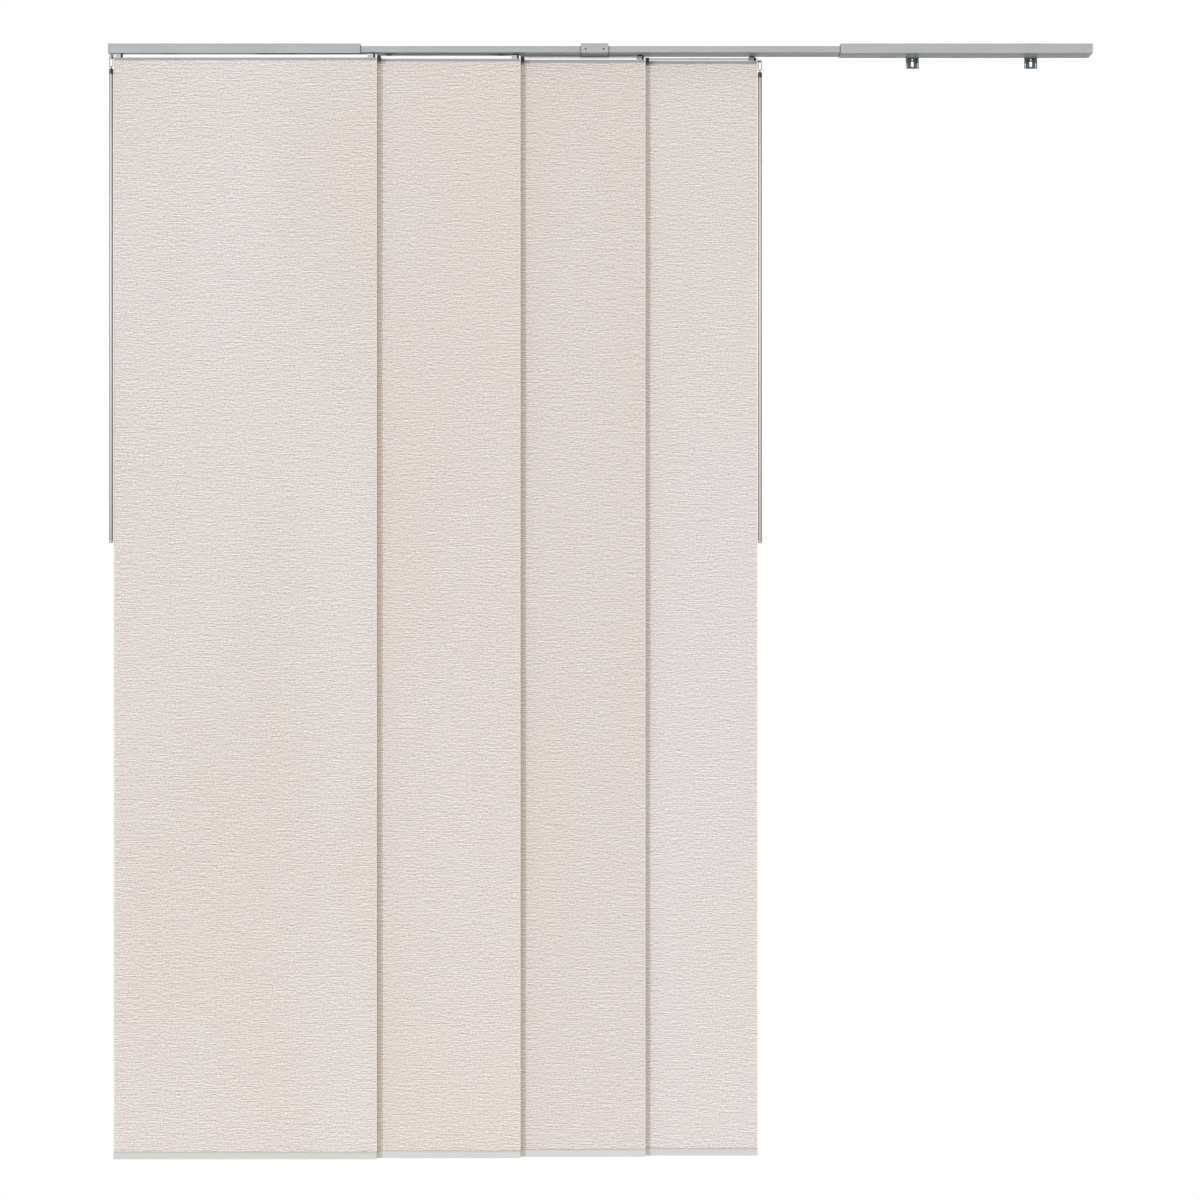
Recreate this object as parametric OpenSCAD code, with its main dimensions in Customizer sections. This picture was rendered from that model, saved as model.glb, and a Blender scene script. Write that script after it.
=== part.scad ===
// Panel track blind: an extendable four-channel track with four fabric panels and two wands.
// Frame: X along the track to the right, minus Y to the front, plus Y into the wall, Z up.
// The origin is in the wall plane, midway between the outer brackets' round holes, at hole height.
// All sizes are in millimetres.

/* [Track] */
// Length of the track as it is set, end to end
track_length = 2184; // [1900:1:2200]
// Length of each outer rail with its end cap
outer_length = 559; // [500:1:600]
// How far an inner rail stands in its outer rail when the joint is in the middle
rail_overlap = 47; // [40:1:120]
// Distance between neighbouring channels
channel_pitch = 14.4; // [14.4:0.1:18]
// Height of the outer rail
rail_height = 21; // [20:0.5:26]
// Thickness of the outer rail's walls
rail_wall = 1.5; // [1.2:0.1:2]
// Thickness of the webs between the channels
web_wall = 1.2; // [1:0.1:1.4]
// Thickness of the outer rail's running flanges
flange_wall = 2; // [1.6:0.1:2.4]
// Width of the outer rail's slots
outer_slot = 6.4; // [5.6:0.1:7]
// Height of the inner channels
inner_height = 13.6; // [13:0.1:14.4]
// Thickness of the inner channels' walls
inner_wall = 1; // [0.8:0.1:1.2]
// Width of the inner channels' slots
inner_slot = 4.6; // [4.4:0.1:5.4]
// Length of an end cap's visible rim
cap_length = 5; // [3:0.5:8]

/* [Joiner] */
// Length of the sleeve over the joint of the inner rails
joiner_length = 61; // [50:1:80]
// Offset of the joint from the track's middle
joiner_offset = -13; // [-20:1:20]
// Distance between the sleeve's two grub screws
joiner_screw_pitch = 40; // [26:1:44]

/* [Brackets] */
// Width of a wall bracket
bracket_width = 29; // [24:0.5:36]
// Thickness of the bracket steel
bracket_steel = 1.5; // [1.2:0.1:2]
// Distance from the track's end to the outer bracket
bracket_end = 129; // [80:1:200]
// Distance between the two brackets on one outer rail
bracket_pitch = 265; // [200:1:320]
// Length of the wall plate below the rail
plate_below = 24; // [22:0.5:36]
// Diameter of the round wall hole
wall_hole = 3.4; // [3:0.1:4]
// Width of the upright wall slot
wall_slot_width = 6; // [4.5:0.1:7]
// Length of the upright wall slot
wall_slot_length = 12.5; // [8:0.5:13.5]

/* [Panels] */
// Width of a panel
panel_width = 584; // [540:1:640]
// Length of the fabric from its top edge to the foot of the bottom rail
fabric_drop = 2438; // [2300:1:2600]
// Thickness of the fabric
fabric_thick = 0.8; // [0.5:0.1:1]
// Distance from the track's end to the first panel's edge
panel_start = 12; // [11:0.5:20]
// Step from the first panel to the second in the photographed position
step_two = 318.4; // [100:0.1:360]
// Step from the second panel to the third
step_three = 278; // [100:0.1:320]
// Step from the third panel to the fourth
step_four = 250.5; // [100:0.1:290]
// Height of the header rail
header_height = 26; // [22:0.5:32]
// Depth of the header rail
header_depth = 4.6; // [4:0.1:5]
// Bare part of the header above the hook tape
header_band = 6.5; // [5.5:0.1:7]
// Distance from the header's top to the fabric's top edge
fabric_top = 13; // [12:0.5:16]
// Thickness of the hook tape
tape_thick = 0.8; // [0.5:0.1:0.9]
// Height of the bottom rail
foot_height = 15; // [13:0.5:20]
// Depth of the bottom rail
foot_depth = 6; // [5:0.1:7]

/* [Carriers] */
// Length of a carrier's roller block
carrier_length = 26; // [20:1:36]
// Diameter of the rollers
roller = 6; // [5:0.1:7]
// Width of the grey hanger clip
clip_width = 12.2; // [9:0.1:16]
// Height of the grey hanger clip
clip_height = 10; // [9:0.1:11]
// Length of the black foot that shows beside the clip
foot_show = 4.4; // [3:0.1:6]
// Distance from the panel's edge to the near side of the carrier's foot
carrier_inset = 3.6; // [3:0.1:12]
// Length of the black catch on a header's end
catch_length = 8; // [6:0.1:8.4]

/* [Wands] */
// Length of the rod
wand_length = 1040; // [600:1:1300]
// Diameter of the rod
wand_diameter = 9; // [7:0.1:9.2]
// Length of the dark cap
wand_cap_length = 12; // [10:0.5:16]
// Straight length of the link between the hook and the cap
link_straight = 16; // [8:0.5:22]
// Half the width of the link, to the middle of its wire
link_radius = 3.6; // [3:0.1:4]
// Diameter of the wire of the link and the eye
wire = 1.4; // [1.1:0.1:1.5]

/* [Clearances] */
// Height of the header's top below the rail
header_gap = 2.5; // [2.4:0.1:4]
// Gap between the carrier's foot and the rail
foot_gap = 1; // [0.8:0.1:1]
// Gap below the rollers
roller_gap = 0.3; // [0.2:0.1:0.5]
// Gap on each side of a nested channel
nest_gap = 0.3; // [0.2:0.05:0.4]
// Gap around a link where it turns
turn_gap = 0.05; // [0.04:0.01:0.1]
// Gap between a wand and the panel's edge
wand_gap = 0.7; // [0.5:0.1:1.5]

/* [Hidden] */
$fn = 32;
eps = 0.01;

// Track section: four channels between a front wall and a rear wall
channel_width = channel_pitch - web_wall;
rail_depth = 4 * channel_pitch + 2 * rail_wall - web_wall;
rail_rear = -bracket_steel;
rail_front = rail_rear - rail_depth;
rail_middle = (rail_front + rail_rear) / 2;
rail_bottom = 4;
rail_top = rail_bottom + rail_height;
outer_floor = rail_bottom + flange_wall;
inner_width = channel_width - 2 * nest_gap;
inner_top = outer_floor + inner_height;
inner_floor = outer_floor + inner_wall;
function channel_y(n) = rail_front + rail_wall + channel_width / 2 + (n - 1) * channel_pitch;
half = track_length / 2;
rail_run = outer_length - cap_length;
// Both inner rails have one length, from the joint to their overlap in the outer rails
inner_length = half - outer_length + rail_overlap;

// Groove on the rail's top for the bracket nuts
cap_plug = 4;
lip_height = 2.6;
lip_wall = 1.2;
groove_width = 18;
groove_mouth = 12;
nut_length = 22;

// Joiner sleeve
sleeve_front = 3.2;
sleeve_rear = 1.8;
sleeve_lip = 0.8;
sleeve_top = 1.5;
tie_height = rail_top - inner_top - sleeve_top + 0.3;
tie_front = channel_y(1) - inner_width / 2;
tie_rear = channel_y(4) + inner_width / 2;
screw_d = 4;

// Brackets, from left to right
bracket_x = [-half + bracket_end, -half + bracket_end + bracket_pitch,
    half - bracket_end - bracket_pitch, half - bracket_end];
arm_bottom = rail_top + lip_height;
plate_bottom = rail_bottom - plate_below;
rib_radius = 2.6;
slot_low = plate_bottom + 3.5;

// Panels
panel_left = [-half + panel_start, -half + panel_start + step_two,
    -half + panel_start + step_two + step_three,
    -half + panel_start + step_two + step_three + step_four];
header_top = rail_bottom - header_gap;
header_bottom = header_top - header_height;
fabric_high = header_top - fabric_top;
fabric_low = fabric_high - fabric_drop;
panel_cap = 1.5;
header_wall = 1;
saddle_front = 1;
saddle_rear = 0.8;
clip_depth = 1.2;
foot_grip = 10;
catch_height = 12;
catch_drop = 1.5;
catch_rear = 0.9;

// Carriers
foot_length = clip_width + foot_show;
roller_width = channel_width - 2 * nest_gap - 2 * inner_wall - 2.2;
stem_width = inner_slot - 1.2;
roller_low = inner_floor + roller_gap;

// Wands
wand_y = -5.7;
wand_x = wand_diameter / 2 + wand_gap;
hook_pin = 2;
hook_z = -5.5;
link_top = hook_z + hook_pin / 2 + wire / 2 + turn_gap;
link_low = link_top - 2 * link_radius - link_straight;
eye_radius = 2.6;
eye_z = link_low + wire + turn_gap - eye_radius;
cap_top = eye_z - eye_radius + 0.2;
rod_top = cap_top - wand_cap_length;
tip_length = 6;

silver = [0.72, 0.73, 0.73];
zinc = [0.45, 0.5, 0.53];
pale = [0.86, 0.86, 0.87];
black = [0.08, 0.08, 0.08];
cloth = [0.87, 0.84, 0.81];

// Turns a flat section in Y and Z into a bar along X
module bar_x(from, to) {
    translate([from, 0, 0]) rotate([90, 0, 90]) linear_extrude(height = to - from) children();
}

module outer_section() {
    difference() {
        translate([rail_front, rail_bottom]) square([rail_depth, rail_height]);
        for (n = [1:4]) {
            translate([channel_y(n) - channel_width / 2, outer_floor])
                square([channel_width, rail_height - flange_wall - rail_wall]);
            translate([channel_y(n) - outer_slot / 2, rail_bottom - 1])
                square([outer_slot, flange_wall + 2]);
        }
    }
    // Ribs that keep the nested channels down
    for (n = [1:4], s = [-1, 1])
        translate([channel_y(n) + s * 4 - 0.5, inner_top + nest_gap])
            square([1, rail_top - rail_wall - inner_top - nest_gap + eps]);
    // Lips of the bracket groove
    for (s = [0, 1]) translate([rail_middle, 0]) mirror([s, 0]) {
        translate([groove_width / 2, rail_top - eps]) square([lip_wall, lip_height + eps]);
        translate([groove_mouth / 2, rail_top + lip_height - 1])
            square([(groove_width - groove_mouth) / 2 + eps, 1]);
    }
}

module outer_rail(from) {
    color(silver) bar_x(from, from + rail_run) outer_section();
}

module inner_section() {
    for (n = [1:4]) difference() {
        translate([channel_y(n) - inner_width / 2, outer_floor]) square([inner_width, inner_height]);
        translate([channel_y(n) - inner_width / 2 + inner_wall, inner_floor])
            square([inner_width - 2 * inner_wall, inner_height - 2 * inner_wall]);
        translate([channel_y(n) - inner_slot / 2, outer_floor - 1])
            square([inner_slot, inner_wall + 2]);
    }
}

module tie_section() {
    translate([tie_front, inner_top - eps]) square([tie_rear - tie_front, tie_height + eps]);
}

// One side's four channels, tied by a bar inside the sleeve
module inner_rail(side) {
    far = joiner_offset + side * inner_length;
    near = joiner_offset + side * joiner_length / 2;
    color(silver) {
        bar_x(min(far, joiner_offset), max(far, joiner_offset)) inner_section();
        bar_x(min(near, joiner_offset), max(near, joiner_offset)) tie_section();
    }
}

module centre_joiner() {
    from = joiner_offset - joiner_length / 2;
    high = inner_top + tie_height;
    low = outer_floor - sleeve_lip;
    lip = (inner_width - inner_slot) / 2 - 1.2;
    color(silver) difference() {
        bar_x(from, from + joiner_length) {
            translate([tie_front - sleeve_front, low])
                square([sleeve_front, high - low + sleeve_top]);
            translate([tie_rear, low]) square([sleeve_rear, high - low + sleeve_top]);
            translate([tie_front - eps, high]) square([tie_rear - tie_front + 2 * eps, sleeve_top]);
            translate([tie_front - eps, low]) square([lip + eps, sleeve_lip]);
            translate([tie_rear - lip, low]) square([lip + eps, sleeve_lip]);
        }
        for (s = [-1, 1]) translate([joiner_offset + s * joiner_screw_pitch / 2,
            tie_front + eps, rail_bottom + 9]) rotate([90, 0, 0])
            translate([0, 0, -1]) cylinder(d = screw_d, h = sleeve_front + 2);
    }
}

module joiner_screws() {
    for (s = [-1, 1]) color(black) translate([joiner_offset + s * joiner_screw_pitch / 2,
        tie_front, rail_bottom + 9]) rotate([90, 0, 0]) difference() {
            cylinder(d = screw_d, h = sleeve_front - 0.4);
            translate([0, 0, 1]) cylinder(d = 2.2, h = sleeve_front, $fn = 6);
        }
}

// Closes a rail end; the plugs stand in the channels
module end_cap(side) {
    outside = side * half;
    inside = side * (half - cap_length);
    plug = side * (half - cap_length - cap_plug);
    color(silver) {
        bar_x(min(outside, inside), max(outside, inside))
            translate([rail_front, rail_bottom]) square([rail_depth, rail_height]);
        bar_x(min(inside + side * eps, plug), max(inside + side * eps, plug)) for (n = [1:4])
            translate([channel_y(n) - channel_width / 2 + 0.1, outer_floor + 0.1])
                square([channel_width - 0.2, inner_height - 0.3]);
    }
}

// Pressed rib, half round, down one side of a wall plate
module plate_rib(x) {
    difference() {
        translate([x, -bracket_steel, plate_bottom]) cylinder(r = rib_radius, h = plate_below - 1);
        translate([x - rib_radius - 1, -bracket_steel / 2, plate_bottom - 1])
            cube([2 * rib_radius + 2, rib_radius + 2, plate_below + 1]);
    }
}

// Folded angle: an arm over the rail's groove and a ribbed plate on the wall
module bracket(n) {
    left = bracket_x[n - 1] - bracket_width / 2;
    right = left + bracket_width;
    color(zinc) difference() {
        union() {
            bar_x(left, right) {
                translate([-bracket_steel, plate_bottom])
                    square([bracket_steel, arm_bottom - plate_bottom + bracket_steel]);
                translate([rail_middle - groove_width / 2 - 0.5, arm_bottom])
                    square([-rail_middle + groove_width / 2 + 0.5, bracket_steel]);
            }
            for (x = [left + rib_radius + 0.3, right - rib_radius - 0.3]) plate_rib(x);
        }
        translate([bracket_x[n - 1], 1, 0]) rotate([90, 0, 0])
            cylinder(d = wall_hole, h = bracket_steel + 2);
        for (z = [slot_low + wall_slot_width / 2, slot_low + wall_slot_length - wall_slot_width / 2])
            translate([bracket_x[n - 1], 1, z]) rotate([90, 0, 0])
                cylinder(d = wall_slot_width, h = bracket_steel + 2);
        translate([bracket_x[n - 1] - wall_slot_width / 2, -bracket_steel - 1,
            slot_low + wall_slot_width / 2])
            cube([wall_slot_width, bracket_steel + 2, wall_slot_length - wall_slot_width]);
        translate([bracket_x[n - 1], rail_middle, arm_bottom - 1])
            cylinder(d = screw_d + 0.4, h = bracket_steel + 2);
    }
}

module bracket_nuts() {
    for (x = bracket_x) color(zinc) difference() {
        translate([x - nut_length / 2, rail_middle - groove_width / 2 + 0.3, rail_top + 0.2])
            cube([nut_length, groove_width - 0.6, lip_height - 1.2]);
        translate([x, rail_middle, rail_top]) cylinder(d = screw_d, h = lip_height);
    }
}

module bracket_screws() {
    for (x = bracket_x) color(zinc) translate([x, rail_middle, 0]) {
        translate([0, 0, rail_top + 0.2]) cylinder(d = screw_d, h = lip_height + bracket_steel);
        translate([0, 0, arm_bottom + bracket_steel]) cylinder(d = 8, h = 0.9);
    }
}

// Hollow strip with a fine line below its bare band
module header_rail(n) {
    y = channel_y(n) - header_depth / 2;
    color(pale) bar_x(panel_left[n - 1] + panel_cap, panel_left[n - 1] + panel_width - panel_cap)
        difference() {
            translate([y, header_bottom]) square([header_depth, header_height]);
            translate([y + header_wall, header_bottom + header_wall])
                square([header_depth - 2 * header_wall, header_height - 2 * header_wall]);
            translate([y - 1, header_top - header_band]) square([1.4, 0.6]);
        }
}

module header_caps(n) {
    y = channel_y(n) - header_depth / 2;
    left = panel_left[n - 1];
    right = left + panel_width;
    color(pale) for (x = [left, right - panel_cap]) {
        translate([x, y, header_bottom]) cube([panel_cap, header_depth, header_height]);
        translate([x == left ? left + panel_cap - eps : right - panel_cap - 6 + eps,
            y + header_wall + 0.1, header_bottom + header_wall + 0.1])
            cube([6, header_depth - 2 * header_wall - 0.2, header_height - 2 * header_wall - 0.2]);
    }
}

// Black catch on each header end that has a neighbour, with a lip turned to the rear
module link_catches(n) {
    low = header_top - catch_drop - catch_height;
    front = channel_y(n) - header_depth / 2;
    color(black) for (side = n == 1 ? [1] : n == 4 ? [-1] : [-1, 1]) {
        root = panel_left[n - 1] + (side < 0 ? 0 : panel_width);
        tip = root + side * catch_length;
        inner = tip - side * 2;
        translate([min(root, tip), front, low]) cube([catch_length, 2.6, catch_height]);
        translate([min(inner, tip), front + 2.6 - eps, low])
            cube([2, header_depth - 2.6 + catch_rear + eps, catch_height]);
    }
}

// Near sides of the two carriers' feet on a panel
function carrier_feet(n) = [panel_left[n - 1] + carrier_inset,
    panel_left[n - 1] + panel_width - carrier_inset - foot_length];

// Roller block in the channel, stem through the slot and saddle on the header
module carriers(n) {
    y = channel_y(n);
    front = y - header_depth / 2;
    back = y + header_depth / 2;
    color(black) for (x = carrier_feet(n)) {
        middle = x + foot_length / 2;
        for (s = [-1, 1]) translate([middle + s * (carrier_length - roller) / 2,
            y + roller_width / 2, roller_low + roller / 2]) rotate([90, 0, 0])
            cylinder(d = roller, h = roller_width);
        translate([middle - (carrier_length - roller) / 2, y - roller_width / 2 + 1, roller_low + 1])
            cube([carrier_length - roller, roller_width - 2, roller - 2]);
        translate([middle - 6, y - stem_width / 2, header_top + eps])
            cube([12, stem_width, roller_low + 2 - header_top]);
        translate([x, front - saddle_front, header_top])
            cube([foot_length, header_depth + saddle_front + saddle_rear, header_gap - foot_gap]);
        translate([x, front - saddle_front, header_top - header_band + 0.2])
            cube([foot_length, saddle_front, header_band]);
        translate([x, back, header_top - header_band + 0.2])
            cube([foot_length, saddle_rear, header_band]);
    }
}

module hanger_clips(n) {
    front = channel_y(n) - header_depth / 2 - saddle_front;
    color(pale) for (x = carrier_feet(n)) difference() {
        translate([x, front - clip_depth, rail_bottom - foot_gap - clip_height])
            cube([clip_width, clip_depth, clip_height]);
        for (s = [-1, 1]) translate([x + clip_width / 2 + s * clip_width / 6 - 0.6,
            front - clip_depth - 1, rail_bottom - foot_gap - clip_height + 1.5])
            cube([1.2, 1.4, clip_height - 3]);
    }
}

module hook_tape(n) {
    low = header_bottom + 0.5;
    color([0.68, 0.67, 0.72]) translate([panel_left[n - 1] + 1,
        channel_y(n) - header_depth / 2 - tape_thick, low])
        cube([panel_width - 2, tape_thick, header_height - header_band - 0.7]);
}

function fabric_front(n) = channel_y(n) - header_depth / 2 - tape_thick - fabric_thick;

module fabric(n) {
    color(cloth) translate([panel_left[n - 1], fabric_front(n), fabric_low + foot_height - foot_grip])
        cube([panel_width, fabric_thick, fabric_drop - foot_height + foot_grip]);
}

// Bottom rail: the fabric stands in its top slot
module bottom_rail(n) {
    y = fabric_front(n) + fabric_thick / 2 - foot_depth / 2;
    color(pale) bar_x(panel_left[n - 1] + panel_cap, panel_left[n - 1] + panel_width - panel_cap)
        difference() {
            translate([y, fabric_low]) square([foot_depth, foot_height]);
            translate([fabric_front(n), fabric_low + foot_height - foot_grip])
                square([fabric_thick, foot_grip + 1]);
            translate([y + 1, fabric_low + 1]) square([foot_depth - 2, foot_height - foot_grip - 2]);
            for (z = [foot_height - 2.4, foot_height / 2, 2]) translate([y - 1, fabric_low + z])
                square([1.3, 0.5]);
        }
}

module bottom_caps(n) {
    y = fabric_front(n) + fabric_thick / 2 - foot_depth / 2;
    left = panel_left[n - 1];
    color(pale) for (x = [left, left + panel_width - panel_cap]) difference() {
        translate([x, y, fabric_low]) cube([panel_cap, foot_depth, foot_height]);
        translate([x - 1, fabric_front(n), fabric_low + foot_height - foot_grip])
            cube([panel_cap + 2, fabric_thick, foot_grip + 1]);
    }
}

// The side of the panel that the wand hangs on: left on the first panel, right on the last
function wand_side(n) = n == 1 ? -1 : 1;
function wand_edge(n) = panel_left[n - 1] + (n == 1 ? 0 : panel_width);
function wand_at(n) = [wand_edge(n) + wand_side(n) * wand_x, channel_y(n) + wand_y, 0];

// Arm on the header's end cap with a headed pin to the front
module wand_hook(n) {
    at = wand_at(n);
    edge = wand_edge(n);
    reach = wand_side(n) * (wand_x + 2.2);
    color(pale) {
        translate([min(edge, edge + reach), channel_y(n) - 1, hook_z - 2.4])
            cube([abs(reach), 3, 4.8]);
        translate([at[0], channel_y(n) - 1 + eps, hook_z]) rotate([90, 0, 0])
            cylinder(d = hook_pin, h = 8 + eps);
        translate([at[0], channel_y(n) - 9, hook_z]) rotate([90, 0, 0])
            cylinder(d = hook_pin + 1.4, h = 0.8);
    }
}

// Long wire link in the X and Z plane
module wand_link(n) {
    at = wand_at(n);
    color(silver) translate([at[0], at[1], 0]) {
        for (s = [-1, 1]) translate([s * link_radius, 0, link_low + link_radius])
            cylinder(d = wire, h = link_straight);
        translate([0, 0, link_top - link_radius]) rotate([90, 0, 0])
            rotate_extrude(angle = 180) translate([link_radius, 0]) circle(d = wire, $fn = 16);
        translate([0, 0, link_low + link_radius]) rotate([90, 180, 0])
            rotate_extrude(angle = 180) translate([link_radius, 0]) circle(d = wire, $fn = 16);
    }
}

// Dark cap with its wire eye in the Y and Z plane
module wand_cap(n) {
    at = wand_at(n);
    color([0.22, 0.16, 0.13]) translate([at[0], at[1], 0]) {
        translate([0, 0, eye_z]) rotate([0, 90, 0])
            rotate_extrude() translate([eye_radius, 0]) circle(d = wire, $fn = 16);
        translate([0, 0, cap_top - 2]) cylinder(d1 = wand_diameter + 0.4, d2 = wand_diameter - 2, h = 2);
        translate([0, 0, rod_top]) cylinder(d = wand_diameter + 0.4, h = wand_cap_length - 2 + eps);
    }
}

module wand_rod(n) {
    at = wand_at(n);
    color(silver) translate([at[0], at[1], rod_top - wand_length + tip_length])
        cylinder(d = wand_diameter, h = wand_length - tip_length);
}

module wand_tip(n) {
    at = wand_at(n);
    color(pale) translate([at[0], at[1], rod_top - wand_length]) {
        cylinder(d1 = wand_diameter - 2.4, d2 = wand_diameter, h = 1.5);
        translate([0, 0, 1.5]) cylinder(d = wand_diameter, h = tip_length - 1.5);
    }
}

outer_rail(-half + cap_length);  // left_outer_rail
outer_rail(half - outer_length);  // right_outer_rail
inner_rail(-1);  // left_inner_rail
inner_rail(1);  // right_inner_rail
centre_joiner();
joiner_screws();
end_cap(-1);  // left_end_cap
end_cap(1);  // right_end_cap
bracket(1);  // bracket_1
bracket(2);  // bracket_2
bracket(3);  // bracket_3
bracket(4);  // bracket_4
bracket_nuts();
bracket_screws();
header_rail(1);  // header_rail_1
header_caps(1);  // header_caps_1
carriers(1);  // carriers_1
link_catches(1);  // link_catches_1
hanger_clips(1);  // hanger_clips_1
hook_tape(1);  // hook_tape_1
fabric(1);  // fabric_1
bottom_rail(1);  // bottom_rail_1
bottom_caps(1);  // bottom_caps_1
header_rail(2);  // header_rail_2
header_caps(2);  // header_caps_2
carriers(2);  // carriers_2
link_catches(2);  // link_catches_2
hanger_clips(2);  // hanger_clips_2
hook_tape(2);  // hook_tape_2
fabric(2);  // fabric_2
bottom_rail(2);  // bottom_rail_2
bottom_caps(2);  // bottom_caps_2
header_rail(3);  // header_rail_3
header_caps(3);  // header_caps_3
carriers(3);  // carriers_3
link_catches(3);  // link_catches_3
hanger_clips(3);  // hanger_clips_3
hook_tape(3);  // hook_tape_3
fabric(3);  // fabric_3
bottom_rail(3);  // bottom_rail_3
bottom_caps(3);  // bottom_caps_3
header_rail(4);  // header_rail_4
header_caps(4);  // header_caps_4
carriers(4);  // carriers_4
link_catches(4);  // link_catches_4
hanger_clips(4);  // hanger_clips_4
hook_tape(4);  // hook_tape_4
fabric(4);  // fabric_4
bottom_rail(4);  // bottom_rail_4
bottom_caps(4);  // bottom_caps_4
wand_hook(1);  // wand_hook_1
wand_link(1);  // wand_link_1
wand_cap(1);  // wand_cap_1
wand_rod(1);  // wand_rod_1
wand_tip(1);  // wand_tip_1
wand_hook(4);  // wand_hook_4
wand_link(4);  // wand_link_4
wand_cap(4);  // wand_cap_4
wand_rod(4);  // wand_rod_4
wand_tip(4);  // wand_tip_4
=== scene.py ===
# %% [markdown]
# # A panel track blind
#
# A panel track is a set of flat fabric panels that slide in front of each other, each in its own
# channel of an aluminium track. The track, brackets, headers and wands arrive here as solids in
# their real place and size. Blender's job is the look: cloth that hangs, metal that has been drawn
# through a die, plastic that has come out of a mould, and the studio light on all of it.

# %% Load the solids
import math

import bmesh
import bpy
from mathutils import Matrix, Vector


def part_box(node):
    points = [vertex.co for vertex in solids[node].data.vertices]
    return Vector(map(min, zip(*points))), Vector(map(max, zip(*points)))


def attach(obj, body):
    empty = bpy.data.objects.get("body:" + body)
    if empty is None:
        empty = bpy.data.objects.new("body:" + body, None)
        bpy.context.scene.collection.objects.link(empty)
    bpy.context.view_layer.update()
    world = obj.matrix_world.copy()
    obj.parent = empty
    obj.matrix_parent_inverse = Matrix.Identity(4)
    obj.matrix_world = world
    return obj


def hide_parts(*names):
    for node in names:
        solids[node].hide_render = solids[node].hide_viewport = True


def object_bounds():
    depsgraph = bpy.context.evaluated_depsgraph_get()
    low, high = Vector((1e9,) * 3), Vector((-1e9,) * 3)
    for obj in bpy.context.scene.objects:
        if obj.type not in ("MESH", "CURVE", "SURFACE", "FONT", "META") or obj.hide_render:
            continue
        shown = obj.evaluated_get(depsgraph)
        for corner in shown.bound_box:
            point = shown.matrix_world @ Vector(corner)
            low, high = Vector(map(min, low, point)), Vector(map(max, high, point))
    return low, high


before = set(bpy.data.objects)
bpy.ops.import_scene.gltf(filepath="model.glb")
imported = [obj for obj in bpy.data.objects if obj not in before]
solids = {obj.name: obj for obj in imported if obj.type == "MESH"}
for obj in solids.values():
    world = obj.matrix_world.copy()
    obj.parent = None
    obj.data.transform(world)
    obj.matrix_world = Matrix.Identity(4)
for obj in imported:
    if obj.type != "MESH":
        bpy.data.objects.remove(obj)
cad_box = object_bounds()
panels = range(1, 5)
wand_panels = (1, 4)
print("solids:", len(solids), "box:", cad_box)

# %% [markdown]
# ## Camera
#
# The picture was taken square on, from half way down the blind, with a long lens: the panels' sides
# are upright and parallel. So the camera looks straight along +Y, and an 86 mm lens on a 36 mm
# sensor gives the same narrow view. No shift and no depth of field are needed.

# %% Place the camera
lens_mm, sensor_mm = 86.19, 36.0
stand_back, eye_level, step_left = 6.431, -1.209, 0.001
farthest_seen = 60.0

eye = bpy.data.cameras.new("studio_camera")
eye.lens = lens_mm
eye.sensor_width = sensor_mm
eye.sensor_fit = "HORIZONTAL"
eye.clip_end = farthest_seen
tripod = bpy.data.objects.new("studio_camera", eye)
tripod.location = (-step_left, -stand_back, eye_level)
tripod.rotation_euler = (math.radians(90), 0, 0)
bpy.context.scene.collection.objects.link(tripod)
bpy.context.scene.camera = tripod
print("camera at", tuple(round(v, 3) for v in tripod.location))

# %% [markdown]
# ## Tools for mixing a finish
#
# A colour read off a picture is in sRGB, from 0 to 255, and Blender's shaders want linear light, so
# `colour` converts it. `node` adds one shader node and wires it up in a single line, which keeps
# each finish short enough to read as a recipe. Every pattern is laid out in Object coordinates:
# all pieces have their origin at the frame's origin, so one unit is one metre everywhere.

# %% Colour and node helpers
def colour(red, green, blue):
    """Turn sRGB levels into linear light, with full alpha."""
    linear = []
    for level in (red / 255, green / 255, blue / 255):
        linear.append(level / 12.92 if level <= 0.04045 else ((level + 0.055) / 1.055) ** 2.4)
    return (*linear, 1.0)


def node(tree, kind, inputs=None, **settings):
    """Add a shader node. Each input is a plain value or the socket that feeds it."""
    made = tree.nodes.new("ShaderNode" + kind)
    for name, value in settings.items():
        setattr(made, name, value)
    for name, value in (inputs or {}).items():
        if isinstance(value, bpy.types.NodeSocket):
            tree.links.new(value, made.inputs[name])
        else:
            made.inputs[name].default_value = value
    return made


def start_finish(name, **sockets):
    """Make a material, and hand back what a recipe needs to go on."""
    finish = bpy.data.materials.new(name)
    finish.use_nodes = True
    tree = finish.node_tree
    shader = tree.nodes["Principled BSDF"]
    for socket, value in sockets.items():
        shader.inputs[socket.replace("_", " ")].default_value = value
    where = node(tree, "TexCoord").outputs["Object"]
    return finish, tree, shader, where


print("mid grey 128 is", round(colour(128, 128, 128)[0], 3), "in linear light")

# %% [markdown]
# Nearly every finish uses the same three moves: stretch a noise along one direction, turn it into a
# range of values, and mix two colours with it. The next helpers do those moves. `stretched_noise`
# takes how many grains fit in a metre along X, Y and Z, so a rail's drawing lines are a noise with
# few grains along the rail and many across it. `weighed` adds up several patterns, each with its
# own share.

# %% Pattern helpers
def stretched_noise(tree, where, per_metre, detail=2.0, roughness=0.5, shift=(0, 0, 0)):
    spread = node(tree, "Mapping", {"Vector": where, "Scale": per_metre, "Location": shift})
    grains = {"Vector": spread.outputs[0], "Scale": 1.0, "Detail": detail, "Roughness": roughness}
    return node(tree, "TexNoise", grains).outputs["Fac"]


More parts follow.
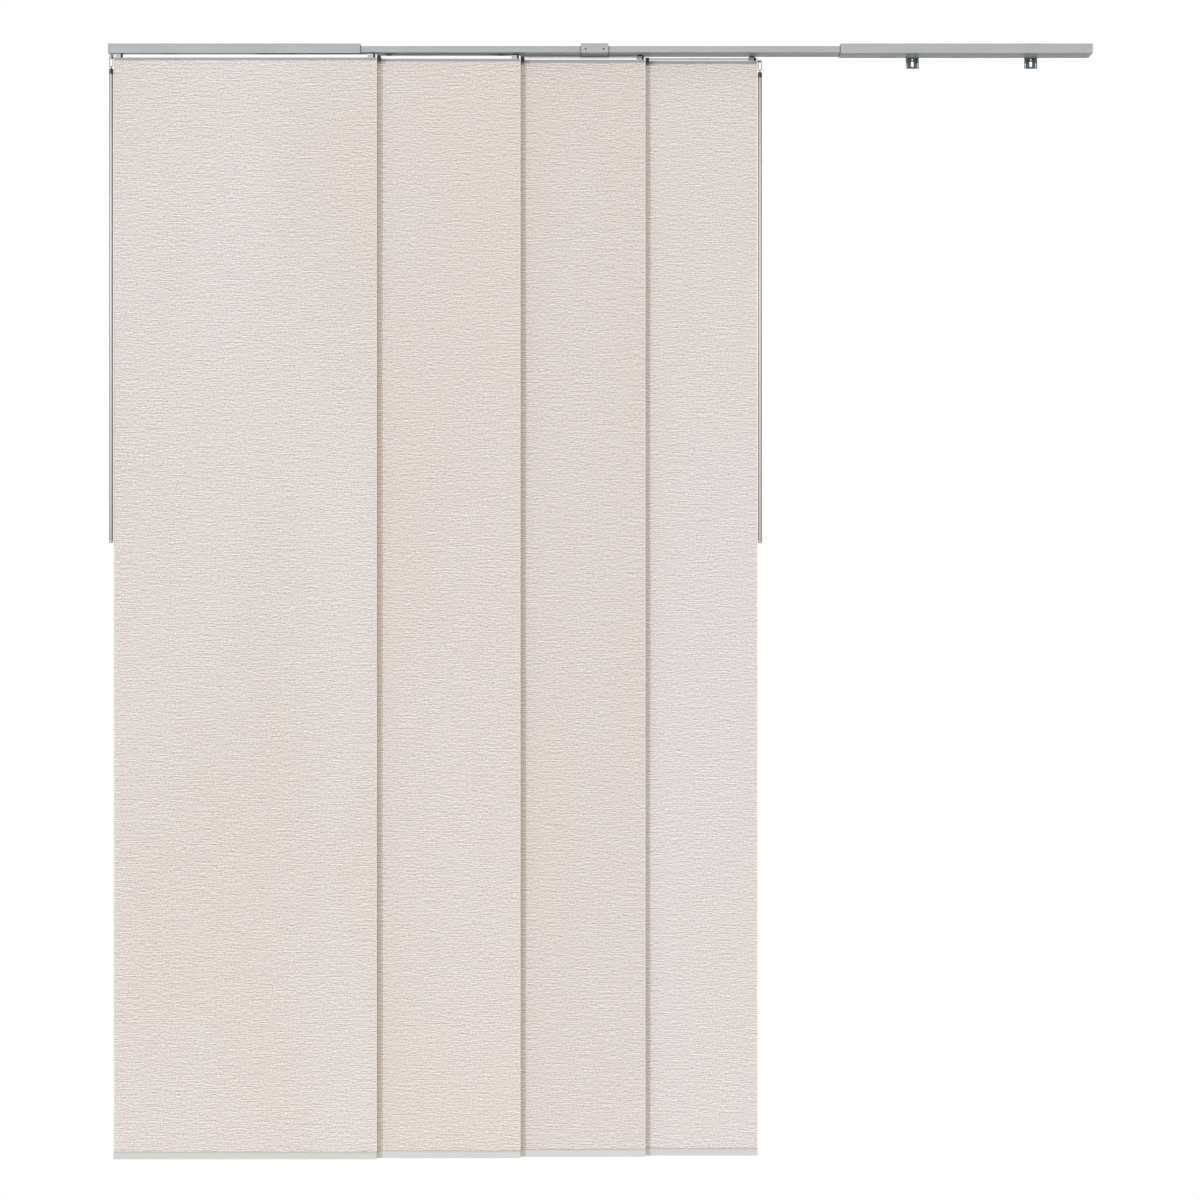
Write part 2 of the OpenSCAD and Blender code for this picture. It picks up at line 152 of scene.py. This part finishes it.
def span(tree, value, low, high, to_low=0.0, to_high=1.0, smooth=False):
    ends = {"From Min": low, "From Max": high, "To Min": to_low, "To Max": to_high}
    kind = "SMOOTHSTEP" if smooth else "LINEAR"
    return node(tree, "MapRange", {"Value": value, **ends}, interpolation_type=kind).outputs["Result"]


def maths(tree, operation, first, second=0.0):
    return node(tree, "Math", {0: first, 1: second}, operation=operation).outputs[0]


def weighed(tree, *parts):
    total = 0.0
    for value, weight in parts:
        total = maths(tree, "ADD", total, maths(tree, "MULTIPLY", value, weight))
    return total


wide, tall = (round(cad_box[1][axis] - cad_box[0][axis], 3) for axis in (0, 2))
print("patterns are laid out over", wide, "by", tall, "m")

# %% [markdown]
# A Mix node keeps its sockets for numbers, vectors and colours in one list, so the colour ones are
# picked by their place in it. `relief` turns a pattern into small bumps, and `dress` puts a
# finish on solids.

# %% Colour, relief and dressing helpers
mix_amount, mix_first, mix_second, mixed_colour = 0, 6, 7, 2


def blend_colours(tree, amount, first, second):
    parts = {mix_amount: amount, mix_first: first, mix_second: second}
    return node(tree, "Mix", parts, data_type="RGBA").outputs[mixed_colour]


def relief(tree, shader, height, depth, strength=1.0):
    bump = node(tree, "Bump", {"Height": height, "Distance": depth, "Strength": strength})
    tree.links.new(bump.outputs["Normal"], shader.inputs["Normal"])


def dress(finish, *names):
    for name in names:
        solid = solids[name]
        solid.data.materials.clear()
        solid.data.materials.append(finish)
        for face in solid.data.polygons:
            face.material_index = 0
    print(finish.name, "on", len(names), "solids")


def on_panels(*pieces, numbers=panels):
    """Name the same pieces on several panels."""
    return [f"{piece}_{number}" for piece in pieces for number in numbers]


print("one piece on each panel:", on_panels("fabric"))

# %% [markdown]
# ## Satin silver rails
#
# The rails are aluminium, pushed through a die and sprayed satin silver. The die leaves lines along
# the whole length, too fine to count but enough to blur reflections. A noise stretched more than 400
# times along X gives those lines, in the colour (barely), in the roughness and in the bump.
#
# The inner rails slide in the outer ones and in the sleeve. Where they leave them, a thin dark line
# is painted on as a painted shadow of the step. Each `mouth` is such a place along X: the closer to
# it, the darker the rail.

# %% Finish: drawn metal
die_lines, soft_clouds = (1.5, 700, 700), (9, 40, 40)
painted_shadow_from, painted_shadow_to, painted_shadow_share = 0.0018, 0.003, 0.75
painted_shadow_grey = colour(74, 74, 72)


def drawn_metal(name, dark, light, rough, depth=0.00004, mouths=(), **sockets):
    finish, tree, shader, where = start_finish(name, **sockets)
    lines = stretched_noise(tree, where, die_lines, detail=4, roughness=0.65)
    clouds = stretched_noise(tree, where, soft_clouds, detail=3)
    tone = weighed(tree, (lines, 0.6), (clouds, 0.4))
    metal = blend_colours(tree, span(tree, tone, 0.35, 0.65), dark, light)
    along = node(tree, "SeparateXYZ", {"Vector": where}).outputs["X"]
    # painted shadow: a thin dark line on the inner rail beside each mouth
    for mouth in mouths:
        away = maths(tree, "ABSOLUTE", maths(tree, "SUBTRACT", along, mouth))
        painted_shadow = span(tree, away, painted_shadow_from, painted_shadow_to, painted_shadow_share, 0.0, smooth=True)
        metal = blend_colours(tree, painted_shadow, metal, painted_shadow_grey)
    tree.links.new(metal, shader.inputs["Base Color"])
    dull = span(tree, tone, 0.3, 0.7, rough - 0.06, rough + 0.06)
    tree.links.new(dull, shader.inputs["Roughness"])
    relief(tree, shader, lines, depth, 0.6)
    return finish


silver = (colour(169, 171, 171), colour(181, 183, 183), 0.4)
satin_silver = drawn_metal("satin_silver", *silver, Metallic=0.2)
dress(satin_silver, "left_outer_rail", "right_outer_rail", "centre_joiner")

# %% Finish: inner rails
sleeve_left, sleeve_right = (corner[0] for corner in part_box("centre_joiner"))
left_mouth, right_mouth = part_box("left_outer_rail")[1][0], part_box("right_outer_rail")[0][0]
mouths = (left_mouth, sleeve_left, sleeve_right, right_mouth)
inner_silver = drawn_metal("inner_silver", *silver, mouths=mouths, Metallic=0.2)
dress(inner_silver, "left_inner_rail", "right_inner_rail")
print("grease lines at x =", [round(mouth, 4) for mouth in mouths])

# %% [markdown]
# ## Header and bottom rails
#
# The headers are brighter metal, so bright that they mirror the panel in front of them. The bottom
# rails have a coat of satin white. Both are drawn profiles too, so the same recipe serves.

# %% Finish: headers and bottom rails
bright = (colour(250, 250, 251), colour(254, 254, 255), 0.2)
bright_header = drawn_metal("bright_header", *bright, Metallic=1.0)
dress(bright_header, *on_panels("header_rail", "header_caps"))

white_coat = (colour(205, 204, 201), colour(215, 214, 211), 0.38)
satin_white = drawn_metal("satin_white", *white_coat, depth=0.00002)
dress(satin_white, *on_panels("bottom_rail", "bottom_caps"))

# %% [markdown]
# ## Moulded plastic
#
# End caps, hanger clips and carriers come out of steel moulds that were roughened with sparks, so
# the plastic has an even, very fine grain. Two noises do it: a fine one for the grain and a coarse
# one for the slight mottling where the melt has flowed. The clips have upright grooves for the
# fingers, about four millimetres apart, which a wave along X paints as darker bands of painted shade.

# %% Finish: caps, clips, hooks and carriers
melt_flow = (60, 60, 110)
painted_groove_shade = colour(122, 122, 120)


def moulded(name, dark, light, rough, grain=1400, grooves=None, **sockets):
    finish, tree, shader, where = start_finish(name, **sockets)
    fine = stretched_noise(tree, where, (grain,) * 3, detail=2)
    flow = stretched_noise(tree, where, melt_flow, detail=3)
    plastic = blend_colours(tree, span(tree, flow, 0.3, 0.7), dark, light)
    # painted shade: dark bands stand in for the clips' grooves
    if grooves:
        wave = node(tree, "TexWave", {"Vector": where, "Scale": grooves}, bands_direction="X")
        bands = span(tree, wave.outputs["Fac"], 0.55, 0.9, 0.0, 0.6)
        plastic = blend_colours(tree, bands, plastic, painted_groove_shade)
    tree.links.new(plastic, shader.inputs["Base Color"])
    dull = span(tree, fine, 0.3, 0.7, rough - 0.05, rough + 0.08)
    tree.links.new(dull, shader.inputs["Roughness"])
    relief(tree, shader, fine, 0.00006, 0.5)
    return finish


cap_grey = moulded("cap_grey", colour(167, 169, 169), colour(177, 179, 179), 0.5)
dress(cap_grey, "left_end_cap", "right_end_cap")

clip_grey = moulded("clip_grey", colour(198, 200, 203), colour(214, 215, 218), 0.42, grooves=78)
dress(clip_grey, *on_panels("hanger_clips"))

hook_grey = moulded("hook_grey", colour(150, 150, 148), colour(176, 176, 174), 0.42)
dress(hook_grey, *on_panels("wand_hook", numbers=wand_panels))

carrier_black = moulded("carrier_black", colour(17, 17, 18), colour(32, 32, 33), 0.46)
dress(carrier_black, *on_panels("carriers", "link_catches"))

# %% [markdown]
# ## Zinc brackets
#
# Wall brackets are punched from zinc-plated sheet. Zinc freezes in crystals, so the plate has
# faint angular patches: a Voronoi pattern gives each its own grey. That grey is darker than zinc, a
# painted reflection of dark surroundings. The two pressed ribs carry a painted highlight, a brighter
# grey than the flat plate, and they stand forward of it, so the place along Y tells them apart.
# The sleeve's screws are blackened steel, for which the plastic's even grain will do.

# %% Finish: zinc plate and blackened screws
crystals_per_metre = 260.0
rib_crest, plate_face = -0.0034, -0.0022


def zinc_plated(name):
    finish, tree, shader, where = start_finish(name, Metallic=1.0)
    crystals = node(tree, "TexVoronoi", {"Vector": where, "Scale": crystals_per_metre})
    grey = node(tree, "SeparateColor", {"Color": crystals.outputs["Color"]}).outputs[0]
    # painted reflection: the plate is coloured darker than zinc
    plate = blend_colours(tree, grey, colour(82, 94, 100), colour(108, 120, 126))
    # painted highlight: the rib crests are coloured brighter than the plate
    painted_rib_highlight = blend_colours(tree, grey, colour(118, 129, 136), colour(140, 151, 158))
    forward = node(tree, "SeparateXYZ", {"Vector": where}).outputs["Y"]
    crest = span(tree, forward, rib_crest, plate_face, 1.0, 0.0)
    tree.links.new(blend_colours(tree, crest, plate, painted_rib_highlight), shader.inputs["Base Color"])
    tree.links.new(span(tree, grey, 0, 1, 0.3, 0.4), shader.inputs["Roughness"])
    relief(tree, shader, grey, 0.00002, 0.4)
    return finish


brackets = [f"bracket_{number}" for number in range(1, 5)]
dress(zinc_plated("zinc_plate"), *brackets, "bracket_nuts", "bracket_screws")

screw_black = (colour(20, 20, 21), colour(40, 40, 42), 0.36)
dress(moulded("blackened_steel", *screw_black, grain=900, Metallic=0.85), "joiner_screws")

# %% [markdown]
# ## Hook tape
#
# A band of hook tape on each header holds the fabric by its loops, so a panel can be
# trimmed and re-hung. Up close it is a field of tiny upright hooks in rows. Small Voronoi cells,
# about 1.3 mm apart, make the hooks: a painted highlight at their tops, the tape's grey between them.

# %% Finish: hook tape
hooks_per_metre = 760.0
painted_hook_highlight = colour(200, 197, 204)


def hooked(name):
    finish, tree, shader, where = start_finish(name, Roughness=0.9)
    cells = {"Vector": where, "Scale": hooks_per_metre, "Randomness": 0.35}
    from_hook = node(tree, "TexVoronoi", cells).outputs["Distance"]
    # painted highlight on the tops of the hooks
    hooks = span(tree, from_hook, 0.1, 0.65, 1.0, 0.0, smooth=True)
    shade = stretched_noise(tree, where, (30, 30, 200), detail=3)
    ground = blend_colours(tree, shade, colour(156, 153, 160), colour(176, 173, 179))
    tree.links.new(blend_colours(tree, hooks, ground, painted_hook_highlight), shader.inputs["Base Color"])
    relief(tree, shader, hooks, 0.0004, 0.8)
    return finish


dress(hooked("hook_lavender"), *on_panels("hook_tape"))

# %% [markdown]
# ## Wands
#
# Each wand is a slim rod with a dark cap, hung on a long wire link. The rod is pale and fluted for
# the fingers: four shallow grooves run down it, coloured darker with painted shade. The angle around
# the rod's axis tells where they are: the cosine of four times that angle is high on a ridge and low
# in a groove. Rod and wire both have fine lines along them, which `streaked` lays.

# %% Finish: rods and wire
flutes, flute_depth = 4, 0.0006
painted_flute_shade = colour(72, 70, 69)
ridge_dull, ridge_bright = colour(226, 226, 227), colour(242, 242, 243)
wire_dark, wire_light = colour(62, 58, 55), colour(96, 92, 88)


def streaked(tree, shader, where, per_metre, rough):
    streaks = stretched_noise(tree, where, per_metre, detail=3)
    dull = span(tree, streaks, 0.3, 0.7, rough - 0.03, rough + 0.06)
    tree.links.new(dull, shader.inputs["Roughness"])
    relief(tree, shader, streaks, 0.00003, 0.5)
    return span(tree, streaks, 0.3, 0.7)


def rod_axis(solid):
    low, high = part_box(solid)
    return (low[0] + high[0]) / 2, (low[1] + high[1]) / 2


def fluted(name, solid):
    finish, tree, shader, where = start_finish(name)
    axis_x, axis_y = rod_axis(solid)
    place = node(tree, "SeparateXYZ", {"Vector": where}).outputs
    across = maths(tree, "SUBTRACT", place["X"], axis_x)
    forward = maths(tree, "SUBTRACT", place["Y"], axis_y)
    turn = maths(tree, "MULTIPLY", maths(tree, "ARCTAN2", across, forward), flutes)
    # painted shade: the grooves are coloured darker than the ridges
    on_ridge = span(tree, maths(tree, "COSINE", turn), -1.0, 0.6, smooth=True)
    streaks = streaked(tree, shader, where, (900, 900, 3), rough=0.3)
    ridge = blend_colours(tree, streaks, ridge_dull, ridge_bright)
    tree.links.new(blend_colours(tree, on_ridge, painted_flute_shade, ridge), shader.inputs["Base Color"])
    return finish


def polished_wire(name):
    finish, tree, shader, where = start_finish(name, Metallic=1.0)
    streaks = streaked(tree, shader, where, (900, 900, 30), rough=0.28)
    tree.links.new(blend_colours(tree, streaks, wire_dark, wire_light), shader.inputs["Base Color"])
    return finish


print("a rod has", flutes, "flutes", flute_depth * 1000, "mm deep")

# %% Dress the wands
cap_brown = moulded("cap_brown", colour(36, 25, 21), colour(58, 42, 35), 0.34, grain=700)
dress(cap_brown, *on_panels("wand_cap", numbers=wand_panels))
dress(polished_wire("bright_wire"), *on_panels("wand_link", numbers=wand_panels))
tip_pale = moulded("tip_pale", colour(168, 168, 169), colour(190, 190, 191), 0.34, grain=700)
dress(tip_pale, *on_panels("wand_tip", numbers=wand_panels))

# %% [markdown]
# The solids have plain round rods. A mesh takes the place of each: a ring of points whose distance
# from the axis dips four times on the way round, drawn out from the rod's foot to its top. It stays
# inside the round rod, because only the grooves are cut away.

# %% Flute the rods
def fluted_mesh(name, solid, steps=96):
    low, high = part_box(solid)
    axis_x, axis_y = rod_axis(solid)
    radius = (high[0] - low[0]) / 2
    points = []
    for height in (low[2], high[2]):
        for step in range(steps):
            turn = 2 * math.pi * step / steps
            reach = radius - flute_depth * (0.5 - 0.5 * math.cos(flutes * turn))
            points.append((axis_x + reach * math.sin(turn), axis_y - reach * math.cos(turn), height))
    sides = []
    for step in range(steps):
        after = (step + 1) % steps
        sides.append((step, after, steps + after, steps + step))
    ends = [tuple(reversed(range(steps))), tuple(range(steps, 2 * steps))]
    mesh = bpy.data.meshes.new(name)
    mesh.from_pydata(points, [], sides + ends)
    for face in mesh.polygons:
        face.use_smooth = face.loop_total == 4
    return mesh


def flute_rod(panel):
    name, solid = f"fluted_rod_{panel}", f"wand_rod_{panel}"
    mesh = fluted_mesh(name, solid)
    mesh.materials.append(fluted(f"rod_pale_{panel}", solid))
    rod = bpy.data.objects.new(name, mesh)
    bpy.context.scene.collection.objects.link(rod)
    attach(rod, f"wand_{panel}")
    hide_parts(solid)
    print(rod.name, "has", len(mesh.vertices), "points")


for panel in wand_panels:
    flute_rod(panel)

# %% [markdown]
# ## Slub weave
#
# The panels are woven with slub yarn, which is thick in some places and thin in others. Its weft
# runs across the panel, so the cloth is covered in level dashes, one to six centimetres long and
# about two millimetres high. Stretched noises give grain, dashes and long streaks. A thick yarn
# catches light and shades the one below it, so `raised_yarn` takes away the same noise a thread
# lower, which also keeps the cloth from looking blotched.

# %% Pattern: slub yarn
grains_per_metre = (330, 1, 420)
dashes_per_metre = (75, 1, 430)
streaks_per_metre = (17, 1, 410)
clouds_per_metre = (2.4, 1, 0.8)
warp_wave = {"Scale": 180.0, "Distortion": 0.6}
weft_wave = {"Scale": 210.0, "Distortion": 0.8}


def raised_yarn(tree, where, per_metre, shift, below=0.9):
    upper = stretched_noise(tree, where, per_metre, 1.0, 0.5, shift)
    lower_shift = (shift[0], shift[1], shift[2] + below)
    lower = stretched_noise(tree, where, per_metre, 1.0, 0.5, lower_shift)
    return maths(tree, "ADD", maths(tree, "SUBTRACT", upper, lower), 0.5)


def slub_yarn(tree, where, seed):
    grain = stretched_noise(tree, where, grains_per_metre, 1.0, 0.5, (seed, 0, seed * 3))
    dash = raised_yarn(tree, where, dashes_per_metre, (seed * 4, 3, seed))
    streak = raised_yarn(tree, where, streaks_per_metre, (seed * 2, 5, seed))
    return weighed(tree, (grain, 0.45), (dash, 0.31), (streak, 0.24))


def thread_relief(tree, shader, where, tone):
    warp = node(tree, "TexWave", {"Vector": where, **warp_wave}, bands_direction="X")
    weft = node(tree, "TexWave", {"Vector": where, **weft_wave}, bands_direction="Z")
    threads = maths(tree, "ADD", warp.outputs["Fac"], weft.outputs["Fac"])
    relief(tree, shader, weighed(tree, (threads, 0.25), (tone, 2.0)), 0.0002, 0.5)


dash_mm, streak_mm = round(1000 / dashes_per_metre[0]), round(1000 / streaks_per_metre[0])
print("a dash is about", dash_mm, "mm long, a streak about", streak_mm, "mm")

# %% [markdown]
# Broad soft clouds of cream and pink tint the cloth, and the yarn is a darker or lighter shade of
# that tint. The sides are cut hot, which seals the threads in a pale line, and a band of painted
# shade darkens the cloth just above the bottom rail's lip. The back has a plainer coat, so the way a
# face looks along Y chooses between the two. The fine grid of threads is left to the bump.

# %% Finish: slub weave
tints = {
    1: (colour(222, 211, 204), colour(224, 215, 212)),
    2: (colour(223, 212, 207), colour(222, 210, 202)),
    3: (colour(221, 210, 205), colour(220, 208, 199)),
    4: (colour(223, 214, 212), colour(221, 212, 207)),
}
backing = (colour(198, 186, 172), colour(250, 240, 227))
sealed_pale, painted_rail_shade = colour(234, 226, 219), colour(170, 160, 152)
seal_inner, seal_outer = 0.0022, 0.0012
rail_shade_low, rail_shade_high, rail_shade_share = 0.0004, 0.0026, 0.6
in_shade = {"Value": 0.56, "Saturation": 1.34}
in_light = {"Value": 1.41, "Saturation": 0.76}


def woven_colour(tree, where, yarn, seed, one_tint, other_tint):
    clouds = stretched_noise(tree, where, clouds_per_metre, 2.0, 0.5, (seed * 5, 9, 1))
    tint = blend_colours(tree, span(tree, clouds, 0.35, 0.65), other_tint, one_tint)
    darker = node(tree, "HueSaturation", {"Color": tint, **in_shade}).outputs[0]
    lighter = node(tree, "HueSaturation", {"Color": tint, **in_light}).outputs[0]
    return blend_colours(tree, yarn, darker, lighter)


def slub_weave(panel, low, high, rail_lip):
    finish, tree, shader, where = start_finish(
        f"slub_weave_{panel}", Roughness=0.88, Sheen_Weight=0.08, Sheen_Roughness=0.6,
        Specular_IOR_Level=0.25)
    seed = 3.7 * panel
    tone = slub_yarn(tree, where, seed)
    yarn = span(tree, tone, 0.32, 0.68)
    cloth = woven_colour(tree, where, yarn, seed, *tints[panel])
    half_width, middle = (high[0] - low[0]) / 2, (low[0] + high[0]) / 2
    place = node(tree, "SeparateXYZ", {"Vector": where}).outputs
    off_middle = maths(tree, "ABSOLUTE", maths(tree, "SUBTRACT", place["X"], middle))
    sealed = span(tree, off_middle, half_width - seal_inner, half_width - seal_outer, smooth=True)
    cloth = blend_colours(tree, sealed, cloth, sealed_pale)
    # painted shade on the cloth just above the bottom rail's lip
    rail_shade_from, rail_shade_to = rail_lip + rail_shade_low, rail_lip + rail_shade_high
    rail_shade = span(tree, place["Z"], rail_shade_from, rail_shade_to, rail_shade_share, 0.0, smooth=True)
    cloth = blend_colours(tree, rail_shade, cloth, painted_rail_shade)
    normal = node(tree, "NewGeometry").outputs["Normal"]
    behind = span(tree, node(tree, "SeparateXYZ", {"Vector": normal}).outputs["Y"], 0.4, 0.6)
    cloth = blend_colours(tree, behind, cloth, blend_colours(tree, yarn, *backing))
    tree.links.new(cloth, shader.inputs["Base Color"])
    thread_relief(tree, shader, where, tone)
    return finish


print("tints for panels", list(tints))

# %% [markdown]
# ## Hanging the panels
#
# A panel is one flat sheet, held along its top by the tape and pulled straight by the rail in its
# hem. It could be a plain box, but real cloth is never quite flat: it keeps a trace of the roll it
# came from. Each sheet is a fine grid whose points lean forward and back by up to a millimetre, still
# at the top and in the rail's slot, and a Solidify modifier gives it the thickness of the cloth.

# %% Shape a sheet
columns, rows = 36, 150
still_top, still_foot = 0.08, 0.05
roll_lean, ripple_lean = 0.0006, 0.0003


def lean(panel, over, down):
    free = min(1.0, down / still_top) * min(1.0, (1 - down) / still_foot)
    roll = math.sin(2.1 * math.pi * over + 1.9 * panel) * math.sin(math.pi * down)
    ripple = math.sin(5.3 * math.pi * down + 2.6 * panel + 1.4 * over)
    return free * (roll_lean * roll + ripple_lean * ripple)


def sheet_mesh(panel, low, high):
    width, drop, middle = high[0] - low[0], high[2] - low[2], (low[1] + high[1]) / 2
    cloth = bmesh.new()
    grid = []
    for row in range(rows + 1):
        down = row / rows
        line = []
        for column in range(columns + 1):
            over = column / columns
            spot = (low[0] + width * over, middle + lean(panel, over, down), high[2] - drop * down)
            line.append(cloth.verts.new(spot))
        grid.append(line)
    for above, below in zip(grid, grid[1:]):
        for column in range(columns):
            corners = (above[column], below[column], below[column + 1], above[column + 1])
            cloth.faces.new(corners).smooth = True
    for edge in cloth.edges:
        edge.smooth = not edge.is_boundary
    mesh = bpy.data.meshes.new(f"cloth_{panel}")
    cloth.to_mesh(mesh)
    cloth.free()
    return mesh


print("each sheet has", rows, "rows of", columns, "faces")

# %% Hang the sheets
def hang_panel(panel):
    low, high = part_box(f"fabric_{panel}")
    width, drop, thickness = high[0] - low[0], high[2] - low[2], high[1] - low[1]
    rail_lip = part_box(f"bottom_rail_{panel}")[1][2]
    mesh = sheet_mesh(panel, low, high)
    mesh.materials.append(slub_weave(panel, low, high, rail_lip))
    sheet = bpy.data.objects.new(f"cloth_{panel}", mesh)
    bpy.context.scene.collection.objects.link(sheet)
    body = sheet.modifiers.new("thickness", "SOLIDIFY")
    body.thickness = thickness
    body.offset = 0.0
    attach(sheet, f"panel_{panel}")
    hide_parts(f"fabric_{panel}")
    print(sheet.name, "is", round(width, 3), "by", round(drop, 3), "m")


for panel in panels:
    hang_panel(panel)

# %% [markdown]
# ## Softened edges
#
# Nothing made of metal or plastic has a perfectly sharp edge, and the bright line along an edge is
# what tells the eye so. A Bevel modifier rounds every corner sharper than 40 degrees by a fraction of
# a millimetre, and leaves the solid's own mesh alone.

# %% Bevel the solids
sharp_degrees = 40


def soften(width, *names):
    for name in names:
        edge = solids[name].modifiers.new("soft_edge", "BEVEL")
        edge.width = width
        edge.segments = 2
        edge.limit_method = "ANGLE"
        edge.angle_limit = math.radians(sharp_degrees)
        edge.use_clamp_overlap = True
        edge.harden_normals = True
    print("edges of", len(names), "solids rounded by", width * 1000, "mm")


rails = [f"{side}_{kind}_rail" for kind in ("outer", "inner") for side in ("left", "right")]
soften(0.0004, *rails, "centre_joiner")
soften(0.0003, *brackets)
soften(0.0004, *on_panels("hanger_clips"))
soften(0.0005, *on_panels("bottom_rail"))

# %% [markdown]
# ## Floor and light
#
# The blind hangs in a white studio. A hard, cool key lamp stands to the left and draws the narrow
# shadow beside each panel's edge. A broad, warm lamp in front and a warm world fill in the rest, so
# those shadows turn out warm. The broad lamp isn't mirrored in metal, or the rails would show it as a
# white sheet. Rays from the camera and rays off shiny metal see the world as plain white, and the
# floor adds a little glow for those rays only, so it reads as white and still keeps the blind's shadow.

# %% Floor
floor_height, floor_glow = -2.60, 0.36
floor_left, floor_right, floor_front, floor_back = -6.0, 6.0, -6.0, 0.2


def seen_or_mirrored(tree):
    path = node(tree, "LightPath").outputs
    either = maths(tree, "MAXIMUM", path["Is Camera Ray"], path["Is Glossy Ray"])
    return maths(tree, "MAXIMUM", either, path["Is Transmission Ray"])


def floor_finish():
    finish, tree, shader, where = start_finish("studio_floor", Roughness=0.9)
    patches = stretched_noise(tree, where, (0.8, 0.8, 0.8), 2)
    tint = blend_colours(tree, patches, colour(243, 243, 243), colour(246, 246, 246))
    tree.links.new(tint, shader.inputs["Base Color"])
    shader.inputs["Emission Color"].default_value = (1, 1, 1, 1)
    glow = maths(tree, "MULTIPLY", seen_or_mirrored(tree), floor_glow)
    tree.links.new(glow, shader.inputs["Emission Strength"])
    return finish


def lay_floor():
    front = [(floor_left, floor_front, floor_height), (floor_right, floor_front, floor_height)]
    back = [(floor_right, floor_back, floor_height), (floor_left, floor_back, floor_height)]
    mesh = bpy.data.meshes.new("studio_floor")
    mesh.from_pydata(front + back, [], [(0, 1, 2, 3)])
    mesh.materials.append(floor_finish())
    floor = bpy.data.objects.new("studio_floor", mesh)
    bpy.context.scene.collection.objects.link(floor)
    print(floor.name, "at", floor_height, "m")


lay_floor()

# %% World
world_fill, world_seen = 0.48, 1.0
white, warm = (1, 1, 1, 1), (1.02, 1.0, 0.95, 1)

bpy.context.scene.view_settings.view_transform = "Standard"
studio = bpy.data.worlds.new("white_studio")
bpy.context.scene.world = studio
studio.use_nodes = True
air = studio.node_tree
background = air.nodes["Background"]
seen = seen_or_mirrored(air)
air.links.new(blend_colours(air, seen, warm, white), background.inputs["Color"])
air.links.new(span(air, seen, 0.0, 1.0, world_fill, world_seen), background.inputs["Strength"])
print("the world lights at", world_fill, "and is seen at", world_seen)

# %% Lamps
def hang_lamp(name, energy, tint, softness, side, rise, mirrored=True):
    """Hang a sun lamp. Softness, side and rise are in degrees."""
    lamp = bpy.data.lights.new(name, "SUN")
    lamp.energy = energy
    lamp.color = tint
    lamp.angle = math.radians(softness)
    side, rise = math.radians(side), math.radians(rise)
    level = math.cos(rise)
    shine = Vector((math.sin(side) * level, math.cos(side) * level, -math.sin(rise)))
    placed = bpy.data.objects.new(name, lamp)
    placed.rotation_euler = shine.to_track_quat("-Z", "Y").to_euler()
    placed.visible_glossy = mirrored
    bpy.context.scene.collection.objects.link(placed)
    print(name, "shines along", tuple(round(v, 2) for v in shine))


cool, mild = (0.76, 0.86, 1.0), (1.0, 0.945, 0.865)
hang_lamp("key_lamp", energy=1.2, tint=cool, softness=0.8, side=38, rise=10)
hang_lamp("front_lamp", energy=0.9, tint=mild, softness=18, side=0, rise=16, mirrored=False)
